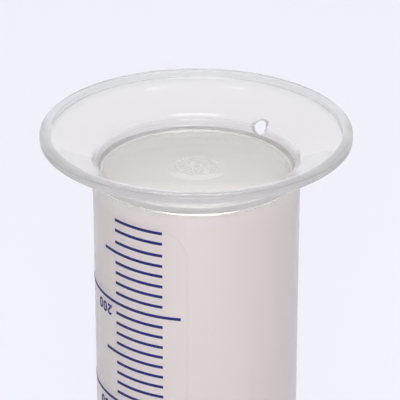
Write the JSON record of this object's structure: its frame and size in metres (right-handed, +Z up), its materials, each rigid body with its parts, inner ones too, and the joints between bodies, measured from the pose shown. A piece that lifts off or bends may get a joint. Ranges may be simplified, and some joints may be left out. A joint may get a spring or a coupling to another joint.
{
  "type": "graduated measuring cylinder",
  "caption": "Low-form translucent plastic measuring cylinder, upside down to drain: wide flared hollow foot on top, straight tube with a printed blue scale, pouring spout below.",
  "frame": {"origin": "on the tube's axis, in the plane of the mouth, which the cylinder stands on as it drains", "axes": "+Z up along the tube's axis, from the mouth to the foot; +X and +Y across, the scale's middle 56 degrees from -Y towards -X. To use the cylinder, turn it half a turn about X so that it stands on its foot."},
  "size_m": [0.1208, 0.1208, 0.26],
  "materials": {
    "translucent_plastic": "translucent natural polypropylene, smooth moulded gloss",
    "scale_ink": "flat navy blue screen-printed ink"
  },
  "bodies": {
    "root": {"tube_wall": "translucent_plastic", "closed_end": "translucent_plastic", "foot_flare": "translucent_plastic", "foot_rim": "translucent_plastic", "mouth_bead": "translucent_plastic", "pouring_spout": "translucent_plastic", "minor_marks": "scale_ink", "medium_marks": "scale_ink", "major_marks": "scale_ink", "numeral_200": "scale_ink", "numeral_400": "scale_ink", "numeral_600": "scale_ink", "numeral_800": "scale_ink", "numeral_1000": "scale_ink", "unit_mark": "scale_ink"}
  },
  "joints": []
}
